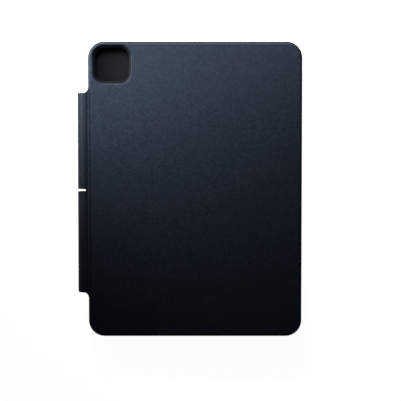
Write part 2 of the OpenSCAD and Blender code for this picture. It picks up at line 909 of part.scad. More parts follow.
// The flap's outline from above: square at the panel, round at the outer corners
module flap_plan(shorter) {
    outer_r = 1.2;
    length = flap_l - 2 * shorter;
    left = -case_w / 2 - flap_reach - 1;
    translate([left + 1 + outer_r, -flap_drop - length / 2]) square([20, length]);
    translate([left + 1, -flap_drop - length / 2 + outer_r])
        square([outer_r, length - 2 * outer_r]);
    for (s = [-1, 1])
        translate([left + 1 + outer_r, -flap_drop + s * (length / 2 - outer_r)]) circle(outer_r);
}

// The two flared corners where the flap widens into the panel's edge
module flare_plan() {
    for (s = [-1, 1]) translate([-case_w / 2, -flap_drop + s * flap_l / 2])
        difference() {
            translate([-flare_r, s > 0 ? 0 : -flare_r]) square([flare_r, flare_r]);
            translate([-flare_r, s * flare_r]) circle(flare_r);
        }
}

module flap_notch() {
    left = -case_w / 2 - flap_reach;
    straight = notch_depth - notch_w / 2;
    translate([left - 1, -notch_drop - notch_w / 2]) square([straight + 1, notch_w]);
    translate([left + straight, -notch_drop]) circle(notch_w / 2);
}

module flap_extrude() {
    rotate([90, 0, 0]) linear_extrude(flap_l + 20, center = true) children();
}

module flap_part(inner, outer, bottom, shorter, flares) {
    difference() {
        union() {
            intersection() {
                flap_extrude() flap_band(inner, outer, bottom);
                slab(0, 30) flap_plan(shorter);
            }
            if (flares) intersection() {
                flap_extrude() flap_band(inner, outer, bottom);
                slab(pencil_z, 30) flare_plan();
            }
        }
        slab(-1, 30) flap_notch();
    }
}

module flap_skin() {
    color([0.1, 0.12, 0.16]) place()
        flap_part(flap_out_r - flap_layer, flap_out_r, lip_tab_z, 0, true);
}

module flap_core() {
    core_end = run_corner(flap_in_r)[1] - 1;
    color([0.5, 0.5, 0.52]) place()
        flap_part(flap_in_r + flap_layer, flap_out_r - flap_layer, core_end, 1, false);
}

module flap_lining() {
    color([0.3, 0.31, 0.33]) place()
        flap_part(flap_in_r, flap_in_r + flap_layer, lip_tab_z, 0, true);
}

module flap_magnets() {
    magnet_l = 14;
    x = tab_x(flap_out_r - flap_layer);
    color([0.65, 0.66, 0.68]) place()
        for (y = [-75, -50, -25, 25, 50, 70])
            translate([x, y - magnet_l / 2, lip_tab_z + 0.3])
                cube([flap_t - 2 * flap_layer, magnet_l, 3.4]);
}

// The supple strip between the panel's edge and the flap, drawn folded at rest
module flap_crease() {
    root = arc_point(flap_out_r, arc_start);
    under = arc_point(flap_in_r, arc_start);
    edge_x = -case_w / 2 + back_edge_r;
    edge_z = back_z - back_edge_r;
    low = 30;
    high = 62;
    color([0.09, 0.11, 0.15]) place() difference() {
        rotate([90, 0, 0]) translate([0, 0, flap_drop])
            linear_extrude(flap_l + 2 * flare_r - 1, center = true)
                polygon([
                    root, under,
                    [edge_x - back_edge_r * cos(low), edge_z + back_edge_r * sin(low)],
                    [edge_x - back_edge_r * cos(high), edge_z + back_edge_r * sin(high)]
                ]);
        panel_block(0, shell_z, back_z - shell_z, back_edge_r);
    }
}

base_skin();
bottom_cover();
rubber_feet();
keyboard_deck();
deck_gasket();
key_backplate();
membrane_sheet();
rubber_domes();
scissor_supports();
circuit_board();
radio_module();
battery_pack();
ribbon_cable();
charging_port();
status_lights();
power_switch();
base_magnets();
wake_magnet();
flap_keeper();
base_screws();
trackpad();
trackpad_bracket();
trackpad_switch();
hinge_base_brackets();
hinge_pins();
friction_washers();
hinge_cover();
hinge_screws();
function_keys();
number_keys();
backspace_key();
tab_key();
upper_letter_keys();
caps_lock_key();
home_letter_keys();
enter_key();
left_shift_key();
lower_letter_keys();
right_shift_key();
modifier_keys();
space_bar();
arrow_keys();
back_skin();
back_shell();
tray_frame();
tray_lining();
camera_bezel();
tray_magnets();
hinge_tray_brackets();
volume_up_button();
volume_down_button();
power_button();
flap_skin();
flap_core();
flap_lining();
flap_magnets();
flap_crease();
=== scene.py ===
import math

import bmesh
import bpy
import numpy as np
from mathutils import Matrix, Vector


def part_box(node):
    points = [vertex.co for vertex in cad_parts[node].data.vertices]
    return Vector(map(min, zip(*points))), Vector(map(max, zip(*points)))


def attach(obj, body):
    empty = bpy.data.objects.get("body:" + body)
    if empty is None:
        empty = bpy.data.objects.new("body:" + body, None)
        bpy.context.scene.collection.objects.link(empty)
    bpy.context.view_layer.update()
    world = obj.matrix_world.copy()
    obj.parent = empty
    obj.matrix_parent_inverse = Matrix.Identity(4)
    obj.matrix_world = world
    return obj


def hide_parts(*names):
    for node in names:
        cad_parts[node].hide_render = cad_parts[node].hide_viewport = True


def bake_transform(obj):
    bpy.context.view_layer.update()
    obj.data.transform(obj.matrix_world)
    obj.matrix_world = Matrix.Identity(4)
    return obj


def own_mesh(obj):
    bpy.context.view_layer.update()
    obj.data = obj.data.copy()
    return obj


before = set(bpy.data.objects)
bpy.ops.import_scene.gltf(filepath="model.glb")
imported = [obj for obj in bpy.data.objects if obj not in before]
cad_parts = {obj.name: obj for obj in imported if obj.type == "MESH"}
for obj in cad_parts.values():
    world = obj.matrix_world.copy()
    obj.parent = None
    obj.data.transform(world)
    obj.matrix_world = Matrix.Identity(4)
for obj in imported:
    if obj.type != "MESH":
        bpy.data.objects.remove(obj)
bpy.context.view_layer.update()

# ---------------------------------------------------------------------------
# Viewpoint. The closed case lies on a table, back up. The camera looks down on
# it from far away, leaning a few degrees towards the camera end.
# ---------------------------------------------------------------------------
panel_low, panel_high = (np.array(c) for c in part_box("back_skin"))
panel_mid = (panel_low + panel_high) / 2
panel_top = panel_high[2]

image_px = 401
panel_wide_px = 213.6
panel_mid_px = (195.1, 189.7)
camera_lean = math.radians(3.9)
metres_per_px = (panel_high[0] - panel_low[0]) / panel_wide_px
view_wide = image_px * metres_per_px

camera_data = bpy.data.cameras.new("camera")
camera_data.lens = 150
camera_far = view_wide * camera_data.lens / camera_data.sensor_width
camera = bpy.data.objects.new("camera", camera_data)
bpy.context.scene.collection.objects.link(camera)
camera.rotation_euler = (-camera_lean, 0, 0)
aside, above = ((image_px / 2 - px) * metres_per_px for px in panel_mid_px)
camera.location = (
    panel_mid[0] + aside,
    panel_mid[1] - above + camera_far * math.sin(camera_lean),
    panel_top + camera_far * math.cos(camera_lean),
)
bpy.context.scene.camera = camera
bpy.context.scene.view_settings.view_transform = "Standard"


# ---------------------------------------------------------------------------
# Table and lights. A white table top, a soft lamp over the camera end, one
# beside the flap's corner there, and a weak one low down at the other end.
# The white that the camera sees is the table's and the world's own colour.
# ---------------------------------------------------------------------------
class Wire:
    """A socket's output. A sum, difference or product with it adds a Math node."""

    def __init__(self, finish, socket):
        self.finish = finish
        self.socket = socket

    def maths(self, operation, first, second):
        """One Math node on two values or wires."""
        return self.finish.node("Math", {"operation": operation}, {0: first, 1: second})

    def __add__(self, other):
        return self.maths("ADD", self, other)

    def __radd__(self, other):
        return self.maths("ADD", other, self)

    def __sub__(self, other):
        return self.maths("SUBTRACT", self, other)

    def __rsub__(self, other):
        return self.maths("SUBTRACT", other, self)

    def __mul__(self, other):
        return self.maths("MULTIPLY", self, other)

    def __rmul__(self, other):
        return self.maths("MULTIPLY", other, self)


class Finish:
    """A material, or the world, under construction: its node tree and its main shader."""

    def __init__(self, name, kind=bpy.data.materials, shader="Principled BSDF"):
        self.material = kind.new(name)
        self.material.use_nodes = True
        self.tree = self.material.node_tree
        self.shader = self.tree.nodes[shader]
        self.place = self.node("TexCoord", output="Object")

    def feed(self, socket, value):
        """Links a wire to a socket, or sets the socket to a number or colour."""
        if isinstance(value, Wire):
            self.tree.links.new(value.socket, socket)
        elif isinstance(value, tuple) and len(value) == 3 and socket.type == "RGBA":
            socket.default_value = (*value, 1)
        else:
            socket.default_value = value

    def node(self, kind, settings=None, sockets=None, output=0):
        """Adds one node: its type, then its settings, then its inputs."""
        made = self.tree.nodes.new("ShaderNode" + kind)
        for name, value in (settings or {}).items():
            setattr(made, name, value)
        for name, value in (sockets or {}).items():
            self.feed(made.inputs[name], value)
        return Wire(self, made.outputs[output])

    def mixed(self, amount, first, second):
        """The first colour where amount is 0, the second where it is 1."""
        return self.node("Mix", {"data_type": "RGBA"}, {0: amount, 6: first, 7: second}, 2)

    def spread(self, value, low, high):
        """Stretches low..high to 0..1, held at both ends."""
        sockets = {"Value": value, "From Min": low, "From Max": high}
        return self.node("MapRange", {"clamp": True}, sockets)

    def noise(self, scale, detail=3.0, roughness=0.55, vector=None):
        """Cloudy noise, with scale cells to the metre."""
        return self.node("TexNoise", {}, {
            "Vector": vector or self.place,
            "Scale": scale,
            "Detail": detail,
            "Roughness": roughness,
        })

    def cells(self, scale, smooth=None, vector=None):
        """Distance from the middle of the nearest cell, run together where smooth is given."""
        feature = "F1" if smooth is None else "SMOOTH_F1"
        sockets = {"Vector": vector or self.place, "Scale": scale}
        if smooth is not None:
            sockets["Smoothness"] = smooth
        return self.node("TexVoronoi", {"feature": feature}, sockets)

    def bumped(self, height, depth, strength=1.0):
        """Tips the surface as if it rose by depth where height is 1."""
        sockets = {"Height": height, "Distance": depth, "Strength": strength}
        return self.node("Bump", {}, sockets)

    def set(self, **sockets):
        """Sets the shader's inputs by name, with _ for a space."""
        for name, value in sockets.items():
            self.feed(self.shader.inputs[name.replace("_", " ")], value)
        return self.material


table_half = 3.0
table_mesh = bpy.data.meshes.new("table_top")
table_mesh.from_pydata(
    [(x, y, 0) for x, y in ((-1, -1), (1, -1), (1, 1), (-1, 1))], [], [(0, 1, 2, 3)]
)
table_mesh.transform(Matrix.Scale(table_half, 4))
table_top = bpy.data.objects.new("table_top", table_mesh)
bpy.context.scene.collection.objects.link(table_top)

top = Finish("table_white")
seen = top.node("LightPath", output="Is Camera Ray")
glossy = top.node("LightPath", output="Is Glossy Ray")
through = top.node("LightPath", output="Is Transmission Ray")
glow = 0.95 * seen + 0.2 * (glossy + through)
table_mesh.materials.append(top.set(
    Base_Color=(0.85, 0.85, 0.85),
    Roughness=0.9,
    Specular_IOR_Level=0.0,
    Emission_Color=top.mixed(glow, (0.0, 0.0, 0.0), (1.0, 1.0, 1.0)),
    Emission_Strength=1.0,
))


def soft_lamp(name, place, target, wide, deep, power, fan):
    """A soft oblong lamp that faces the target. Its light keeps to a fan, in degrees."""
    data = bpy.data.lights.new(name, "AREA")
    data.shape = "RECTANGLE"
    data.size = wide
    data.size_y = deep
    data.energy = power
    data.spread = math.radians(fan)
    lamp = bpy.data.objects.new(name, data)
    lamp.visible_camera = False
    lamp.location = place
    aim = Vector(target) - Vector(place)
    lamp.rotation_euler = aim.to_track_quat("-Z", "Y").to_euler()
    bpy.context.scene.collection.objects.link(lamp)


soft_lamp("key_lamp", (-0.02, 0.23, 0.16), (0.01, 0.112, 0.02), 0.28, 0.08, 0.148, 61)
soft_lamp("side_lamp", (-0.24, 0.17, 0.12), (-0.06, 0.085, 0.02), 0.12, 0.08, 0.125, 64)
soft_lamp("low_lamp", (0.60, -0.75, 0.30), (0.0, 0.0, 0.01), 0.5, 0.5, 0.08, 180)

room = Finish("room", bpy.data.worlds, "Background")
straight = room.node("LightPath", output="Is Camera Ray")
room_shade = (0.0270, 0.0285, 0.0300)
bpy.context.scene.world = room.set(
    Color=room.mixed(straight, room_shade, (1.0, 1.0, 1.0)),
    Strength=1.0,
)

# ---------------------------------------------------------------------------
# Back panel. Dark grained leather cloth over the stiff back shell, drawn round
# the shell's edges and turned down over the lip of the camera bezel.
# ---------------------------------------------------------------------------
mm = 0.001
panel_corner_r = 13.7 * mm
panel_edge_w = 2.8 * mm
panel_edge_h = 2.0 * mm
cloth_t = 0.8 * mm
lip_w = 0.9 * mm
lip_r = 1.15 * mm
groove_in = 2.1 * mm
groove_r = 0.5 * mm
groove_sink = 0.05 * mm
groove_ends = (-87.8 * mm, 82.2 * mm)
cutout_low, cutout_high = (np.array(c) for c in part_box("camera_bezel"))
cutout_mid = ((cutout_low + cutout_high) / 2)[:2]
cutout_half = (cutout_high[0] - cutout_low[0]) / 2
cutout_r = 9.8 * mm


def rounded_outline(half_w, half_l, r, count=64):
    """Points anticlockwise round a rectangle whose corners are quarter circles of
    radius r, each with count points."""
    turn = np.linspace(0, math.pi / 2, count)
    sides = []
    for quarter, (sx, sy) in enumerate(((1, 1), (-1, 1), (-1, -1), (1, -1))):
        angle = turn + quarter * math.pi / 2
        sides.append(np.stack([
            sx * (half_w - r) + r * np.cos(angle),
            sy * (half_l - r) + r * np.sin(angle),
        ], axis=1))
    return np.concatenate(sides)


def reach(outline, centre, angles):
    """How far the outline lies from the centre in each direction: where a ray that way
    crosses one of its straight steps, by the ratio of their cross products."""
    start = outline - centre
    step = np.roll(start, -1, axis=0) - start
    ray = np.stack([np.cos(angles), np.sin(angles)], axis=1)
    cross = ray[:, :1] * step[None, :, 1] - ray[:, 1:] * step[None, :, 0]
    safe = np.where(np.abs(cross) < 1e-15, 1e-15, cross)
    far = (start[None, :, 0] * step[None, :, 1] - start[None, :, 1] * step[None, :, 0]) / safe
    along = (start[None, :, 0] * ray[:, 1:] - start[None, :, 1] * ray[:, :1]) / safe
    hit = (along >= -1e-9) & (along <= 1 + 1e-9) & (far > 0)
    return np.where(hit, far, 0).max(axis=1)


def level(outline, z):
    """The outline's points at the height z."""
    return np.concatenate([outline, np.full((len(outline), 1), z)], axis=1)


def ring_skin(rings, closed=False):
    """Points and faces of a skin over rings, each as (point, xyz): every point joins its
    neighbour and the same points of the next ring. The last ring joins the first, or one
    face closes each end."""
    rings = np.array(rings)
    count, around, _ = rings.shape
    index = np.arange(count * around).reshape(count, around)
    here = index if closed else index[:-1]
    above = np.roll(index, -1, axis=0) if closed else index[1:]
    quads = np.stack([
        here, np.roll(here, -1, axis=1), np.roll(above, -1, axis=1), above,
    ], axis=2)
    faces = quads.reshape(-1, 4).tolist()
    if not closed:
        faces += [index[0, ::-1].tolist(), index[-1].tolist()]
    return rings.reshape(-1, 3), faces


def solid_piece(name, points, faces):
    """A smooth mesh object at the origin from points and faces."""
    mesh = bpy.data.meshes.new(name)
    mesh.from_pydata(points.tolist(), [], faces)
    mesh.polygons.foreach_set("use_smooth", [True] * len(mesh.polygons))
    mesh.update()
    piece = bpy.data.objects.new(name, mesh)
    bpy.context.scene.collection.objects.link(piece)
    return piece


def crisp(piece, degrees):
    """Shades smooth, but keeps edges sharper than the angle hard."""
    piece.data.set_sharp_from_angle(angle=math.radians(degrees))
    return piece


def leather_finish(name, tone=1.0):
    """Pebbled leather cloth: small rounded cells in two sizes over a faint mottle."""
    f = Finish(name)
    wander = f.node("VectorMath", {"operation": "SCALE"}, {
        0: f.node("TexNoise", {}, {"Vector": f.place, "Scale": 700.0, "Detail": 2.0}, "Color"),
        "Scale": 0.0005,
    })
    moved = f.node("VectorMath", {"operation": "ADD"}, {0: f.place, 1: wander})
    pebbles = f.cells(1050, 0.6, moved)
    fine = f.cells(2600, vector=moved)
    mottle = f.noise(380, 4, 0.7)
    patches = f.noise(36, 3)
    height = 1 - (pebbles * 0.75 + fine * 0.25)
    shade = f.spread(height * 0.4 + mottle * 0.6, 0.36, 0.68)
    dark = tuple(tone * c for c in (0.0046, 0.0074, 0.0142))
    light = tuple(tone * c for c in (0.0220, 0.0308, 0.0515))
    worn = tuple(tone * c for c in (0.0144, 0.0203, 0.0335))
    faded = f.spread(patches, 0.3, 0.7) * 0.3
    return f.set(
        Base_Color=f.mixed(faded, f.mixed(shade, dark, light), worn),
        Roughness=0.53 + 0.12 * mottle - 0.06 * height,
        Normal=f.bumped(height, 0.00004, 0.5),
        Specular_IOR_Level=0.45,
        Specular_Tint=(0.68, 0.84, 1.0),
    )


leather = leather_finish("dark_grained_leather")

ray_count = 480
outer_rim = rounded_outline(*(panel_high - panel_low)[:2] / 2, panel_corner_r)
outer_rim = outer_rim + panel_mid[:2]
even_rays = np.linspace(-math.pi, math.pi, ray_count, endpoint=False)
long_way = np.linspace(0, 1, ray_count, endpoint=False)
rim_step = np.roll(outer_rim, -1, axis=0) - outer_rim
rim_along = np.concatenate([[0], np.cumsum(np.hypot(*rim_step.T))])
rim_closed = np.concatenate([outer_rim, outer_rim[:1]])
rim_even = np.stack([
    np.interp(long_way * rim_along[-1], rim_along, rim_closed[:, axis]) for axis in (0, 1)
], axis=1)
rim_rays = np.arctan2(*(rim_even - cutout_mid).T[::-1])
rays = np.unique(np.round(np.concatenate([even_rays, rim_rays]), 5))
ray_step = np.stack([np.cos(rays), np.sin(rays)], axis=1)


def panel_ring(inset, z):
    """The panel's outline, drawn in by inset, along the rays from the cutout."""
    size = (panel_high - panel_low)[:2] / 2 - inset
    outline = rounded_outline(*size, panel_corner_r - inset) + panel_mid[:2]
    return ring_at(reach(outline, cutout_mid, rays), z)


def cutout_ring(grow, z):
    """The camera cutout's outline, let out by grow, along the same rays."""
    half = cutout_half + grow
    outline = rounded_outline(half, half, cutout_r + grow) + cutout_mid
    return ring_at(reach(outline, cutout_mid, rays), z)


def ring_at(radius, z):
    """A ring about the cutout's middle, a given way out along each ray."""
    return level(cutout_mid + ray_step * radius[:, None], z)


def between(first, second, shares):
    """Rings that run from the first ring to the second, at the given shares."""
    return [first + (second - first) * share for share in shares]


def edge_drop(inset):
    """How far the panel's edge has curved down at an inset: a quarter of an ellipse."""
    return panel_edge_h * (1 - math.sqrt(1 - (1 - inset / panel_edge_w) ** 2))


def grooved(ring, inset):
    """Sinks a ring of the left edge into the fold groove, a round channel along the flap."""
    aside = min(abs(inset - groove_in), groove_r)
    bottom = panel_top - groove_sink - math.sqrt(groove_r ** 2 - aside ** 2)
    past = np.maximum(groove_ends[0] - ring[:, 1], ring[:, 1] - groove_ends[1])
    share = np.clip(-past / (2 * mm), 0, 1) * (ring[:, 0] < panel_low[0] + panel_edge_w)
    ring[:, 2] -= share * max(ring[0, 2] - bottom, 0)
    return ring


skin_low = panel_low[2]
flat_next = cutout_ring(lip_r - lip_w + 0.3 * mm, panel_top)
flat_end = panel_ring(panel_edge_w + 0.3 * mm, panel_top)
inner_start = panel_ring(cloth_t, panel_top - cloth_t)
inner_end = cutout_ring(0.1 * mm, panel_top - cloth_t)
cloth_end = cutout_ring(-0.1 * mm, panel_top - lip_r - 0.05 * mm)
edge_insets = np.concatenate([
    panel_edge_w * (1 - np.sin(np.linspace(0, math.pi / 2, 16))),
    groove_in + groove_r * np.cos(np.linspace(0, math.pi, 11)),
])
panel_rings = [cloth_end, cutout_ring(-lip_w + 0.1 * mm, panel_top - lip_r - 0.05 * mm)]
panel_rings += [
    cutout_ring(lip_r * (1 - math.cos(a)) - lip_w, panel_top - lip_r * (1 - math.sin(a)))
    for a in np.linspace(0, math.pi / 2, 9)
]
panel_rings += between(flat_next, flat_end, np.linspace(0, 1, 26))
panel_rings += [
    grooved(panel_ring(inset, panel_top - edge_drop(inset)), inset)
    for inset in np.sort(edge_insets)[::-1]
]
panel_rings += [panel_ring(0, skin_low), panel_ring(cloth_t, skin_low), inner_start]
panel_rings += between(inner_start, inner_end, np.linspace(0, 1, 8)[1:])
back_panel = crisp(solid_piece("back_panel", *ring_skin(panel_rings, closed=True)), 50)
back_panel.data.materials.append(leather)
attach(back_panel, "tray")
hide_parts("back_skin")

# ---------------------------------------------------------------------------
# Camera bezel. A moulded black ring glued into the cutout. The leather covers
# its lip, and from there it slopes down into the hole.
# ---------------------------------------------------------------------------
bezel_wall = 2.5 * mm
bezel_drop = 0.9 * mm
bezel_round = 0.3 * mm
bezel_low = cutout_low[2]
seam_w = 0.06 * mm


def bezel_ring(inset, z):
    """The cutout's outline, drawn in by inset, its corners a little less so."""
    half = cutout_half - inset
    return level(rounded_outline(half, half, cutout_r - inset * 0.9, 24) + cutout_mid, z)


def plastic_finish(name, colour, grain=2500, roughness=0.5, depth=0.00001, sheen=0.35):
    """Moulded plastic: a fine spark-eroded texture, faintly uneven in tone and gloss."""
    f = Finish(name)
    tone = f.noise(60, 4)
    texture = f.noise(grain, 2, 0.7)
    light = tuple(min(1, c * 1.25 + 0.003) for c in colour)
    dark = tuple(c * 0.82 for c in colour)
    return f.set(
        Base_Color=f.mixed(f.spread(tone * 0.6 + texture * 0.4, 0.35, 0.65), dark, light),
        Roughness=roughness - 0.06 + 0.12 * texture,
        Normal=f.bumped(texture, depth),
        Specular_IOR_Level=sheen,
    )


under_lip = panel_top - lip_r - 0.1 * mm
slope_start = lip_w - 0.02 * mm
slope_end = bezel_wall - bezel_round
bezel_rings = [
    bezel_ring(seam_w, bezel_low),
    bezel_ring(seam_w, under_lip),
    bezel_ring(slope_start, under_lip),
]
bezel_rings += [
    bezel_ring(slope_start + (slope_end - slope_start) * share, under_lip - bezel_drop * share)
    for share in np.linspace(0.1, 1, 5)
]
bezel_rings += [
    bezel_ring(bezel_wall - 0.08 * mm, under_lip - bezel_drop - 0.4 * bezel_round),
    bezel_ring(bezel_wall, under_lip - bezel_drop - bezel_round),
    bezel_ring(bezel_wall, bezel_low),
]
camera_rim = crisp(solid_piece("camera_rim", *ring_skin(bezel_rings, closed=True)), 50)
bezel_satin = plastic_finish("bezel_satin", (0.0040, 0.0060, 0.0100), 2200, 0.6, sheen=0.1)
camera_rim.data.materials.append(bezel_satin)
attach(camera_rim, "tray")
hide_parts("camera_bezel")

# ---------------------------------------------------------------------------
# Tray. A stiff moulded shell under the leather, with a snap-in frame round it
# that grips the tablet, and brushed felt glued in to lie against the tablet's
# back. Three buttons float in its side walls, and magnets in its rim.
# ---------------------------------------------------------------------------
def dress(material, *nodes):
    """Gives CAD nodes a finish. Their shapes and places stay as they are."""
    for node in nodes:
        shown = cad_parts[node]
        shown.data.materials.clear()
        shown.data.materials.append(material)


def metal_finish(name, colour, roughness=0.3, brush=(1.0, 30.0, 1.0)):
    """Plated or rolled metal: fine lines along the sheet, and a few duller patches."""
    f = Finish(name)
    along = f.node("Mapping", {}, {"Vector": f.place, "Scale": brush})
    lines = f.noise(420, 5, 0.75, along)
    patches = f.noise(90, 3)
    light = tuple(min(1, c * 1.12) for c in colour)
    dark = tuple(c * 0.8 for c in colour)
    return f.set(
        Base_Color=f.mixed(f.spread(patches * 0.5 + lines * 0.5, 0.3, 0.7), dark, light),
        Metallic=1.0,
        Roughness=roughness - 0.08 + 0.2 * patches,
        Normal=f.bumped(lines, 0.000004),
    )


def felt_finish(name, tone=1.0):
    """Brushed grey felt: short crossed fibres over soft uneven patches."""
    f = Finish(name)
    across, along = (
        f.node("Mapping", {}, {"Vector": f.place, "Scale": scale, "Rotation": (0, 0, turn)})
        for scale, turn in (((1.0, 0.12, 1.0), 0.6), ((0.12, 1.0, 1.0), 0.2))
    )
    fibres = f.noise(3200, 3, 0.7, across) * 0.5 + f.noise(3000, 3, 0.7, along) * 0.5
    patches = f.noise(70, 4)
    shade = f.spread(fibres * 0.7 + patches * 0.3, 0.38, 0.62)
    dark = tuple(tone * c for c in (0.050, 0.053, 0.059))
    light = tuple(tone * c for c in (0.115, 0.120, 0.130))
    return f.set(
        Base_Color=f.mixed(shade, dark, light),
        Roughness=0.9 + 0.08 * fibres,
        Normal=f.bumped(fibres, 0.00006, 0.7),
        Sheen_Weight=0.25,
        Sheen_Roughness=0.6,
    )


shell_black = plastic_finish("shell_black", (0.022, 0.023, 0.026), 1800, 0.55)
frame_satin = plastic_finish("frame_satin", (0.016, 0.020, 0.028), 2400, 0.48)
button_satin = plastic_finish("button_satin", (0.020, 0.024, 0.032), 2600, 0.4)
magnet_nickel = metal_finish("magnet_nickel", (0.58, 0.59, 0.60), 0.22, (6.0, 6.0, 1.0))
dress(shell_black, "back_shell")
dress(frame_satin, "tray_frame")
dress(felt_finish("tray_felt"), "tray_lining")
dress(button_satin, "volume_up_button", "volume_down_button", "power_button")
dress(magnet_nickel, "tray_magnets")

# ---------------------------------------------------------------------------
# Pencil flap. The same leather cloth on a springy core, lined with soft felt.
# It curls round the pencil, and its magnetic lip holds to the base's side.
# ---------------------------------------------------------------------------
flap_low, flap_high = (np.array(c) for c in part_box("flap_skin"))
pencil_r = 4.45 * mm
flap_in_r = pencil_r + 0.35 * mm
flap_t = 1.4 * mm
flap_out_r = flap_in_r + flap_t
pencil_x = flap_low[0] + flap_out_r
pencil_z = flap_high[2] - flap_out_r
curl_start = math.radians(71)
curl_end = math.radians(250)
lip_gap = 0.3 * mm
lip_bend = 0.9 * mm
lip_bottom = flap_low[2]
panel_left = panel_low[0]
flap_end_y = (-87.8 * mm, 82.2 * mm)
flare_r = 4.3 * mm
flap_corner_r = 1.2 * mm
notch_y = -0.6 * mm
notch_half = 1.1 * mm
notch_depth = 7.1 * mm


def arch(a, pull, b, count):
    """Points of the curve from a to b that leans towards pull: each is a mix of the three,
    weighted by the squares of the way gone and of the way left, and by their product."""
    share = np.linspace(0, 1, count)[:, None]
    return (1 - share) ** 2 * a + 2 * share * (1 - share) * pull + share ** 2 * b


def flap_section(r, count=60):
    """Cross-section at radius r: an arc about the pencil, a straight run in along the arc's
    last direction, a rounded bend, and a lip straight down."""
    angle = np.linspace(curl_start, curl_end, count)
    arc = np.stack([pencil_x + r * np.cos(angle), pencil_z + r * np.sin(angle)], axis=1)
    lip_x = panel_left - lip_gap - (r - flap_in_r)
    slope = math.tan(curl_end + math.pi / 2)
    turn = np.array([lip_x, arc[-1, 1] + (lip_x - arc[-1, 0]) * slope])
    back = np.array([-math.cos(curl_end + math.pi / 2), -math.sin(curl_end + math.pi / 2)])
    a, b = turn + back * lip_bend, turn - np.array([0, lip_bend])
    rounded = arch(a, turn, b, 9)
    run = arc[-1] + (a - arc[-1]) * np.linspace(0, 1, 6)[1:-1, None]
    lip = b + (np.array([lip_x, lip_bottom]) - b) * np.linspace(0, 1, 8)[1:, None]
    return np.concatenate([arc, run, rounded, lip])


def bow(gap, r):
    """How far a round corner of radius r stands back, gap away from its edge: the radius
    less the circle's height there, which is nothing past the radius."""
    inside = np.clip(1 - gap / r, 0, 1)
    return r * (1 - np.sqrt(1 - inside ** 2))


def flap_half(section, sign, steps=70):
    """Half the flap, from the notch to its end, as rows of points along Y. A sine spaces
    the rows, so that they lie closer towards the round corners of the end."""
    x, z = section.T
    edge_x = flap_low[0]
    end = flap_end_y[1] if sign > 0 else flap_end_y[0]
    corner = bow(x - edge_x, flap_corner_r)
    flare = np.where(z > pencil_z, bow(panel_left - x, flare_r), 0)
    notch_in = edge_x + notch_depth - notch_half
    past = np.clip(x - notch_in, 0, notch_half)
    half = np.sqrt(np.clip(notch_half ** 2 - past ** 2, 0, None))
    first = notch_y + sign * half
    last = end + sign * (flare - corner)
    share = np.sin(np.linspace(0, 1, steps) * math.pi / 2)[:, None]
    y = first + (last - first) * share
    return np.stack([np.broadcast_to(x, y.shape), y, np.broadcast_to(z, y.shape)], axis=2)


def sheet_faces(outside, inside):
    """Closes two grids of the same shape into one thick sheet."""
    rows, cols, _ = outside.shape
    top_index = np.arange(rows * cols).reshape(rows, cols)
    low_index = top_index + rows * cols

    def quads(index):
        """Four-sided faces between each two rows and columns."""
        corners = [index[:-1, :-1], index[1:, :-1], index[1:, 1:], index[:-1, 1:]]
        return np.stack(corners, 2).reshape(-1, 4)

    def wall(upper, lower):
        """Four-sided faces from one edge to the one under it."""
        return np.stack([upper[:-1], upper[1:], lower[1:], lower[:-1]], 1)

    faces = [quads(top_index), quads(low_index)[:, ::-1]]
    for edge in (np.s_[0, :], np.s_[-1, :], np.s_[:, 0], np.s_[:, -1]):
        faces.append(wall(top_index[edge], low_index[edge]))
    points = np.concatenate([outside.reshape(-1, 3), inside.reshape(-1, 3)])
    return points, np.concatenate(faces).tolist()


def tidy_normals(piece, merge=1e-6):
    """Joins doubled points and turns every face outwards."""
    work = bmesh.new()
    work.from_mesh(piece.data)
    bmesh.ops.remove_doubles(work, verts=work.verts, dist=merge)
    bmesh.ops.dissolve_degenerate(work, edges=work.edges, dist=merge)
    bmesh.ops.recalc_face_normals(work, faces=work.faces)
    work.to_mesh(piece.data)
    work.free()
    return piece


def joined(name, parts):
    """One mesh object from several sets of points and faces."""
    points, faces, shift = [], [], 0
    for part_points, part_faces in parts:
        points.append(part_points)
        faces += [[i + shift for i in face] for face in part_faces]
        shift += len(part_points)
    return solid_piece(name, np.concatenate(points), faces)


def flap_layer(name, outer_r, inner_r):
    """One layer of the flap between two radii, a closed sheet on each side of the notch."""
    outer, inner = flap_section(outer_r), flap_section(inner_r)
    halves = [sheet_faces(flap_half(outer, sign), flap_half(inner, sign)) for sign in (1, -1)]
    return crisp(tidy_normals(joined(name, halves)), 40)


flap_cloth_t = 0.45 * mm
flap_leather = flap_layer("flap_leather", flap_out_r, flap_out_r - flap_cloth_t)
# The flap's cloth is the panel's leather at 0.62 of its tone: darker all over.
flap_leather.data.materials.append(leather_finish("flap_grained_leather", 0.62))
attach(flap_leather, "pencil_flap")
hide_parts("flap_skin")
dress(plastic_finish("edge_paint", (0.020, 0.024, 0.032), 1200, 0.6), "flap_core")
dress(felt_finish("flap_felt", 0.35), "flap_lining")
dress(magnet_nickel, "flap_magnets")

# ---------------------------------------------------------------------------
# Crease. A supple strip of the same leather in the groove between the panel's
# rounded edge and the flap. It is the flap's hinge.
# ---------------------------------------------------------------------------
crease_steps = 70


def on_edge(inset, rise=0.0):
    """A point on the panel's rounded left edge at an inset, or rise above it."""
    return np.array([panel_left + inset, panel_top - edge_drop(inset) + rise])


def on_curl(r):
    """The point at radius r where the curl about the pencil starts."""
    return np.array([pencil_x + r * math.cos(curl_start), pencil_z + r * math.sin(curl_start)])


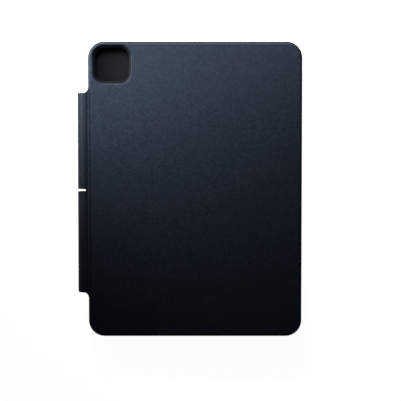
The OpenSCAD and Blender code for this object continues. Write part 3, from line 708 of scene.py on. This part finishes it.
crease_top = on_curl(flap_out_r)
dip = np.array([panel_left - 0.45 * mm, panel_top - 0.05 * mm])
ridge = np.array([panel_left + 0.45 * mm, panel_top + 0.02 * mm])
foot = on_edge(groove_in - groove_r + 0.05 * mm, -0.05 * mm)
crease_over = np.concatenate([
    arch(crease_top, np.array([dip[0] - 0.1 * mm, dip[1]]), dip, 6)[:-1],
    arch(dip, (dip + ridge) / 2 + np.array([0, 0.05 * mm]), ridge, 5)[:-1],
    arch(ridge, np.array([foot[0], ridge[1]]), foot, 8),
])
under_edge = on_edge(0.1 * mm, -0.05 * mm)
crease_under = arch(under_edge, (under_edge + on_curl(flap_in_r)) / 2, on_curl(flap_in_r), 10)
crease_section = np.concatenate([crease_over, crease_under])
crease_rows = []
for share in np.linspace(-1, 1, crease_steps):
    end = flap_end_y[1] if share > 0 else flap_end_y[0]
    flare = bow(panel_left - crease_section[:, 0], flare_r)
    flare = np.clip(flare, 0, flare_r - 0.5 * mm)
    limit = end + np.sign(share) * flare
    y = notch_y + (limit - notch_y) * math.sin(abs(share) * math.pi / 2)
    crease_rows.append(np.stack([crease_section[:, 0], y, crease_section[:, 1]], axis=1))
flap_groove = crisp(tidy_normals(solid_piece("flap_groove", *ring_skin(crease_rows))), 50)
flap_groove.data.materials.append(leather)
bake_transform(flap_groove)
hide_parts("flap_crease")

# ---------------------------------------------------------------------------
# Key caps. Moulded caps with a shallow dish and a printed legend each, and a
# raised bar on two of the home keys. Each clips to its dome and scissor bars.
# ---------------------------------------------------------------------------
case_mid_x = panel_mid[0]
key_pitch = 16.8 * mm
row_pitch = 16.4 * mm
key_gap = 2.2 * mm
number_row_x = case_mid_x + 59.5 * mm
function_row_x = case_mid_x + 72.5 * mm
keys_left_y = 7 * key_pitch
cap_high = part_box("space_bar")[1][2]
cap_low = cap_high - 2 * mm
stem_r = 1.3 * mm
stem_spread = 32 * mm
cap_round = 0.35 * mm
cap_corner = 1.2 * mm
cap_dish = 0.1 * mm
print_lift = 0.012 * mm
print_t = 0.012 * mm
function_key_deep = 7.6 * mm
arrow_key_deep = 7.1 * mm


def key_run(first, row, labels):
    """Keys of one unit side by side, each as (start, width, row, label) in key units."""
    return [(first + i, 1, row, label) for i, label in enumerate(labels)]


key_sets = {
    "function_keys": key_run(0, -1, ["esc", *(f"F{i}" for i in range(1, 13)), "del"]),
    "number_keys": [(0, 0.75, 0, "`"), *key_run(0.75, 0, "1234567890-=")],
    "backspace_key": [(12.75, 1.25, 0, "back")],
    "tab_key": [(0, 1.25, 1, "tab")],
    "upper_letter_keys": [*key_run(1.25, 1, "QWERTYUIOP[]"), (13.25, 0.75, 1, "/")],
    "caps_lock_key": [(0, 1.5, 2, "caps")],
    "home_letter_keys": key_run(1.5, 2, "ASDFGHJKL;'"),
    "enter_key": [(12.5, 1.5, 2, "enter")],
    "left_shift_key": [(0, 2, 3, "shift")],
    "lower_letter_keys": key_run(2, 3, "ZXCVBNM,.?"),
    "right_shift_key": [(12, 2, 3, "shift")],
    "modifier_keys": [
        *key_run(0, 4, ["fn", "ctrl", "alt"]), (3, 1.25, 4, "menu"), (9.75, 1.25, 4, "alt"),
    ],
    "space_bar": [(4.25, 5.5, 4, "")],
    "arrow_keys": [
        (11, 1, 4.25, "left"), (12, 1, 4.25, "down"), (13, 1, 4.25, "right"),
        (12, 1, 3.75, "up"),
    ],
}


def key_place(first, width, row):
    """A key's middle (x, y) and its half sizes (across the rows, along the row)."""
    x = function_row_x if row < 0 else number_row_x - row * row_pitch
    y = keys_left_y - (first + width / 2) * key_pitch
    deep = row_pitch - key_gap
    if row < 0:
        deep = function_key_deep
    elif row != int(row):
        deep = arrow_key_deep
    return np.array([x, y]), np.array([deep, width * key_pitch - key_gap]) / 2


def dish_depth(offset, half):
    """How far the cap's top lies below its rim, at an offset from its middle: all of the
    dish there, and less by the square of the way out."""
    near = 1 - np.clip((np.abs(offset) / half) ** 2, 0, 1).max(axis=-1)
    return cap_dish * near


def cap_rings(middle, half):
    """A cap from its foot up its sides, round its rim by a quarter circle, and over its
    dished top, where the height falls with the square of the way in."""
    def ring(inset, z):
        """The cap's outline, drawn in by inset."""
        outline = rounded_outline(*(half - inset), max(cap_corner - inset, 0.3 * mm), 6)
        return level(outline + middle, z)

    rings = [ring(0.15 * mm, cap_low), ring(0, cap_low + 0.15 * mm)]
    rings += [
        ring(cap_round * (1 - math.sin(a)), cap_high - cap_round * (1 - math.cos(a)))
        for a in np.linspace(math.pi / 2, 0, 5)
    ]
    rim = ring(cap_round, cap_high)[:, :2] - middle
    rings += [
        level(middle + rim * share, cap_high - cap_dish * (1 - share ** 2))
        for share in (0.93, 0.8, 0.6, 0.35)
    ]
    return rings


def letters(label, size):
    """The label's outline filled flat, as points and faces, its middle at 0, 0."""
    curve = bpy.data.curves.new("legend", "FONT")
    curve.body = label
    curve.size = size
    curve.align_x = "CENTER"
    curve.resolution_u = 3
    curve.extrude = print_t / 2
    made = bpy.data.objects.new("legend", curve)
    bpy.context.scene.collection.objects.link(made)
    shown = made.evaluated_get(bpy.context.evaluated_depsgraph_get())
    mesh = bpy.data.meshes.new_from_object(shown)
    points = np.empty(3 * len(mesh.vertices))
    mesh.vertices.foreach_get("co", points)
    points = points.reshape(-1, 3)
    faces = [list(f.vertices) for f in mesh.polygons]
    bpy.data.objects.remove(made)
    bpy.data.curves.remove(curve)
    bpy.data.meshes.remove(mesh)
    flat = points[:, :2]
    flat -= (flat.max(axis=0) + flat.min(axis=0)) / 2
    return points, faces


def arrow_shape(label, size):
    """A thin triangle that points the way the arrow key's name says."""
    turn = {"right": 0, "up": 90, "left": 180, "down": 270}[label]
    corner = np.radians(np.array([0, 120, 240]) + turn)
    flat = np.stack([np.cos(corner), np.sin(corner)], axis=1) * size
    points = np.concatenate([level(flat, print_t / 2), level(flat, -print_t / 2)])
    return points, [[0, 1, 2], [5, 4, 3], [0, 3, 4, 1], [1, 4, 5, 2], [2, 5, 3, 0]]


def home_bar(middle):
    """The raised bar low on a home key, felt by a finger: a small block that draws in
    ring by ring to a rounded top."""
    size = np.array([0.22, 1.6]) * mm
    spot = middle + np.array([-4.6, 0]) * mm
    low, high = cap_high - 0.12 * mm, cap_high + 0.14 * mm
    rings = []
    for grow, z in ((1.0, low), (1.0, high - 0.08 * mm), (0.75, high - 0.01 * mm), (0.3, high)):
        outline = rounded_outline(*(size - (1 - grow) * size[0]), size[0] * grow * 0.9, 4)
        rings.append(level(outline + spot, z))
    return ring_skin(rings)


def stems(middle, width):
    """Where a key's stems and domes stand: one, or three along the space bar."""
    aside = (-stem_spread, 0, stem_spread) if width > 5 else (0,)
    return [middle + np.array([0, y]) for y in aside]


def turned(spot, profile, around=20):
    """A round body on a spot from its profile of (radius, height), closed at both ends."""
    turn = np.linspace(0, 2 * math.pi, around, endpoint=False)
    circle = np.stack([np.cos(turn), np.sin(turn)], axis=1)
    return ring_skin([level(spot + r * circle, z) for r, z in profile])


dome_low, dome_high = (corner[2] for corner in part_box("rubber_domes"))
stem_profile = [
    (0.8 * stem_r, dome_high + 0.03 * mm),
    (stem_r, dome_high + 0.08 * mm),
    (stem_r, cap_low + 0.1 * mm),
]
cap_black = plastic_finish("cap_black", (0.012, 0.013, 0.015), 3000, 0.55, 0.000008)
print_white = plastic_finish("print_white", (0.62, 0.64, 0.66), 3500, 0.6, 0.000002)
reading_turn = np.array([[0.0, -1.0], [1.0, 0.0]])
word_size = 2.7 * mm
letter_size = 4.6 * mm

for node, keys in key_sets.items():
    caps, prints = [], []
    for first, width, row, label in keys:
        middle, half = key_place(first, width, row)
        caps.append(ring_skin(cap_rings(middle, half)))
        if label in ("F", "J"):
            caps.append(home_bar(middle))
        caps += [turned(spot, stem_profile) for spot in stems(middle, width)]
        if label in ("left", "right", "up", "down"):
            points, faces = arrow_shape(label, 1.1 * mm)
        elif label:
            points, faces = letters(label, letter_size if len(label) == 1 else word_size)
        else:
            continue
        offset = points[:, :2] @ reading_turn
        low = dish_depth(offset, half - cap_round)
        high = cap_high - low + print_lift + points[:, 2]
        prints.append((np.column_stack([offset + middle, high]), faces))
    cap_piece = crisp(tidy_normals(joined(node + "_caps", caps)), 40)
    cap_piece.data.materials.append(cap_black)
    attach(cap_piece, node)
    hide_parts(node)
    if prints:
        print_piece = joined(node + "_legends", prints)
        print_piece.data.materials.append(print_white)
        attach(print_piece, node)

# ---------------------------------------------------------------------------
# Domes and scissor bars. A moulded rubber dome springs each key back, and two
# crossed pairs of bars keep it level.
# ---------------------------------------------------------------------------
dome_tall = dome_high - dome_low
dome_profile = [
    (r * mm, dome_low + share * dome_tall) for r, share in (
        (2.4, 0.0), (2.4, 0.08), (2.22, 0.14), (2.08, 0.32), (1.96, 0.5), (1.78, 0.64),
        (1.5, 0.73), (1.3, 0.8), (1.3, 0.96), (1.18, 1.0),
    )
]
bar_half = np.array([0.45, 0.25]) * mm
bar_lean = math.radians(8.5)
bar_long, bar_short = 10 * mm, 5.4 * mm
bar_apart = np.array([3.6, 0.5]) * mm
bar_mid_z = (dome_low + cap_low) / 2


def scissor_bar(spot, long, lean):
    """A flat moulded bar across a key: a rounded section carried along it, smaller at
    both ends, and turned by lean about the bar's middle."""
    rings = []
    for end, size in ((-1, 0.6), (-0.97, 1.0), (0.97, 1.0), (1, 0.6)):
        y, z = rounded_outline(*bar_half * size, 0.15 * mm * size, 4).T
        along = end * long / 2
        rings.append(np.stack([
            spot[0] + along * math.cos(lean) + z * math.sin(lean),
            spot[1] + y,
            bar_mid_z - along * math.sin(lean) + z * math.cos(lean),
        ], axis=1))
    return ring_skin(rings)


def pressed_flat(name, parts, material, node, key_set):
    """A piece on the base under the keys, joined from the parts in one finish; the CAD node it
    stands for is hidden.
    """
    piece = crisp(tidy_normals(joined(name, parts)), 40)
    piece.data.materials.append(material)
    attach(piece, "keyboard_base")
    key_set + "_press"
    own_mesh(piece)
    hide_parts(node)


dome_rubber = plastic_finish("dome_rubber", (0.55, 0.55, 0.53), 900, 0.65)
scissor_white = plastic_finish("scissor_white", (0.62, 0.62, 0.60), 1500, 0.5)
for key_set, keys in key_sets.items():
    domes, bars = [], []
    for first, width, row, _ in keys:
        middle, half = key_place(first, width, row)
        long = bar_long if half[0] > 4 * mm else bar_short
        for spot in stems(middle, width):
            domes.append(turned(spot, dome_profile))
            for side in (-1, 1):
                for lean in (-1, 1):
                    beside = np.array([0, side * (bar_apart[0] + lean * bar_apart[1])])
                    bars.append(scissor_bar(spot + beside, long, lean * bar_lean))
    pressed_flat(
        key_set + "_domes", domes, dome_rubber, "rubber_domes", key_set,
    )
    pressed_flat(
        key_set + "_bars", bars, scissor_white, "scissor_supports", key_set,
    )

# ---------------------------------------------------------------------------
# Key deck and switch sheet. A thin moulded deck frames the keys on a rubber
# gasket. Under them a printed film senses each press, over a stiff sheet of
# aluminium that carries the scissor bars.
# ---------------------------------------------------------------------------
def film_finish(name, clear, traced, scale):
    """Printed film: thin silver tracks on a tinted base."""
    f = Finish(name)
    lines = f.node("TexWave", {"wave_type": "BANDS", "bands_direction": "Y"}, {
        "Vector": f.place, "Scale": scale, "Distortion": 0.4, "Detail": 1.0,
    }, 1)
    printed = f.spread(lines, 0.62, 0.7)
    base = f.mixed(f.noise(200, 3), clear, tuple(0.8 * c for c in clear))
    return f.set(
        Base_Color=f.mixed(printed, base, traced),
        Metallic=printed * 0.7,
        Roughness=0.35 + 0.1 * f.noise(500),
        Normal=f.bumped(printed, 0.00002),
    )


deck_black = plastic_finish(
    "deck_black", (0.0045, 0.0052, 0.0065), 2200, 0.75, 0.000012, 0.1,
)
foot_black = plastic_finish("foot_black", (0.018, 0.018, 0.019), 1500, 0.75, 0.00002, 0.25)
bare_aluminium = metal_finish("bare_aluminium", (0.72, 0.73, 0.75), 0.35)
membrane_film = film_finish("membrane_film", (0.50, 0.52, 0.48), (0.72, 0.72, 0.74), 110.0)
dress(deck_black, "keyboard_deck")
dress(foot_black, "deck_gasket")
dress(membrane_film, "membrane_sheet")
dress(bare_aluminium, "key_backplate")

# ---------------------------------------------------------------------------
# Trackpad. One satin glass plate that stands a hair above the deck, with a
# fine chamfer all round. It floats on the bracket under it and clicks.
# ---------------------------------------------------------------------------
pad_low, pad_high = (np.array(c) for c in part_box("trackpad"))
pad_mid = ((pad_low + pad_high) / 2)[:2]
pad_half = ((pad_high - pad_low) / 2)[:2]
pad_rings = []
for inset, z in (
    (0.1, pad_low[2]), (0, pad_low[2] + 0.1 * mm), (0, pad_high[2] - 0.22 * mm),
    (0.05, pad_high[2] - 0.1 * mm), (0.14, pad_high[2] - 0.03 * mm), (0.26, pad_high[2]),
    (1.0, pad_high[2]),
):
    outline = rounded_outline(*(pad_half - inset * mm), (3 - inset) * mm, 12)
    pad_rings.append(level(outline + pad_mid, z))
touch_plate = crisp(tidy_normals(solid_piece("touch_plate", *ring_skin(pad_rings))), 40)
satin_glass = plastic_finish("satin_glass", (0.017, 0.019, 0.023), 5000, 0.32, 0.000002, 0.5)
touch_plate.data.materials.append(satin_glass)
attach(touch_plate, "trackpad")
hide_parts("trackpad")
dress(bare_aluminium, "trackpad_bracket")
dress(metal_finish("switch_plate", (0.55, 0.55, 0.56), 0.4), "trackpad_switch")

# ---------------------------------------------------------------------------
# Electronics. A green board with its radio under a soldered steel can, two
# foil battery cells taped beside it, a ribbon to the trackpad, the charging
# port and the sliding switch in the side wall, and the status lights' lens.
# ---------------------------------------------------------------------------
def board_finish():
    """Green solder mask over copper tracks, with small bare pads."""
    f = Finish("board_green")
    tracks = f.node("TexBrick", {"offset": 0.5}, {
        "Vector": f.place, "Scale": 260.0, "Mortar Size": 0.12,
        "Brick Width": 1.4, "Row Height": 0.35,
    }, "Fac")
    pads = f.spread(f.cells(420), 0.18, 0.14)
    mask = f.mixed(tracks, (0.012, 0.085, 0.035), (0.02, 0.15, 0.06))
    return f.set(
        Base_Color=f.mixed(pads, mask, (0.62, 0.5, 0.28)),
        Metallic=pads * 0.8,
        Roughness=0.38 + 0.1 * f.noise(300),
        Normal=f.bumped(tracks + pads, 0.00003),
    )


def foil_finish():
    """Crinkled silver pouch foil: faceted creases in a bright, uneven metal."""
    f = Finish("cell_foil")
    creases = f.cells(160) + 0.4 * f.cells(520)
    return f.set(
        Base_Color=f.mixed(f.noise(140, 3), (0.52, 0.53, 0.55), (0.72, 0.73, 0.75)),
        Metallic=0.9,
        Roughness=0.28 + 0.15 * f.noise(90),
        Normal=f.bumped(creases, 0.0001, 0.5),
    )


bright_steel = metal_finish("bright_steel", (0.62, 0.62, 0.63), 0.28)
ribbon_film = film_finish("ribbon_film", (0.55, 0.30, 0.07), (0.75, 0.55, 0.30), 320.0)
light_lens = plastic_finish("light_lens", (0.55, 0.62, 0.56), 900, 0.3, 0.000004, 0.5)
dress(board_finish(), "circuit_board")
dress(bright_steel, "radio_module", "charging_port")
dress(foil_finish(), "battery_pack")
dress(ribbon_film, "ribbon_cable")
dress(light_lens, "status_lights")
dress(plastic_finish("switch_grey", (0.10, 0.10, 0.11), 2400, 0.45), "power_switch")

# ---------------------------------------------------------------------------
# Hinge. Steel brackets screwed to the base and to the tray turn on two pins,
# with brass washers pressed between them for friction. A moulded cover hides
# them along the base's edge.
# ---------------------------------------------------------------------------
hinge_steel = metal_finish("hinge_steel", (0.50, 0.51, 0.53), 0.3, (30.0, 1.0, 30.0))
washer_brass = metal_finish("washer_brass", (0.70, 0.55, 0.28), 0.32)
dress(hinge_steel, "hinge_base_brackets", "hinge_tray_brackets", "hinge_pins")
dress(washer_brass, "friction_washers")
dress(bright_steel, "hinge_screws")
dress(deck_black, "hinge_cover")

# ---------------------------------------------------------------------------
# Base. A moulded tub screwed up into the deck, with the leather cloth glued
# round its outside. Magnets let into it hold it to the tray, and a steel
# strip in its side wall holds the flap's lip.
# ---------------------------------------------------------------------------
dress(leather, "base_skin")
dress(shell_black, "bottom_cover")
dress(magnet_nickel, "base_magnets", "wake_magnet")
dress(bright_steel, "flap_keeper", "base_screws")

# ---------------------------------------------------------------------------
# Feet. Four soft rubber discs with a rounded rim and a shallow hollow in the
# middle of the sole, stuck to the underside of the base.
# ---------------------------------------------------------------------------
foot_profile = [(r * mm, z * mm) for r, z in (
    (0.3, 0.12), (2.2, 0.12), (3.4, 0.06), (3.9, 0.01), (4.3, 0.0), (4.65, 0.05),
    (4.9, 0.2), (5.0, 0.42), (5.0, 1.0),
)]
foot_spots = np.array([(-76, -108), (-76, 108), (70, -108), (70, 108)]) * mm
feet = [turned(spot + (case_mid_x, 0), foot_profile, 48) for spot in foot_spots]
foot_pads = crisp(tidy_normals(joined("foot_pads", feet)), 50)
foot_pads.data.materials.append(foot_black)
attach(foot_pads, "keyboard_base")
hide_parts("rubber_feet")
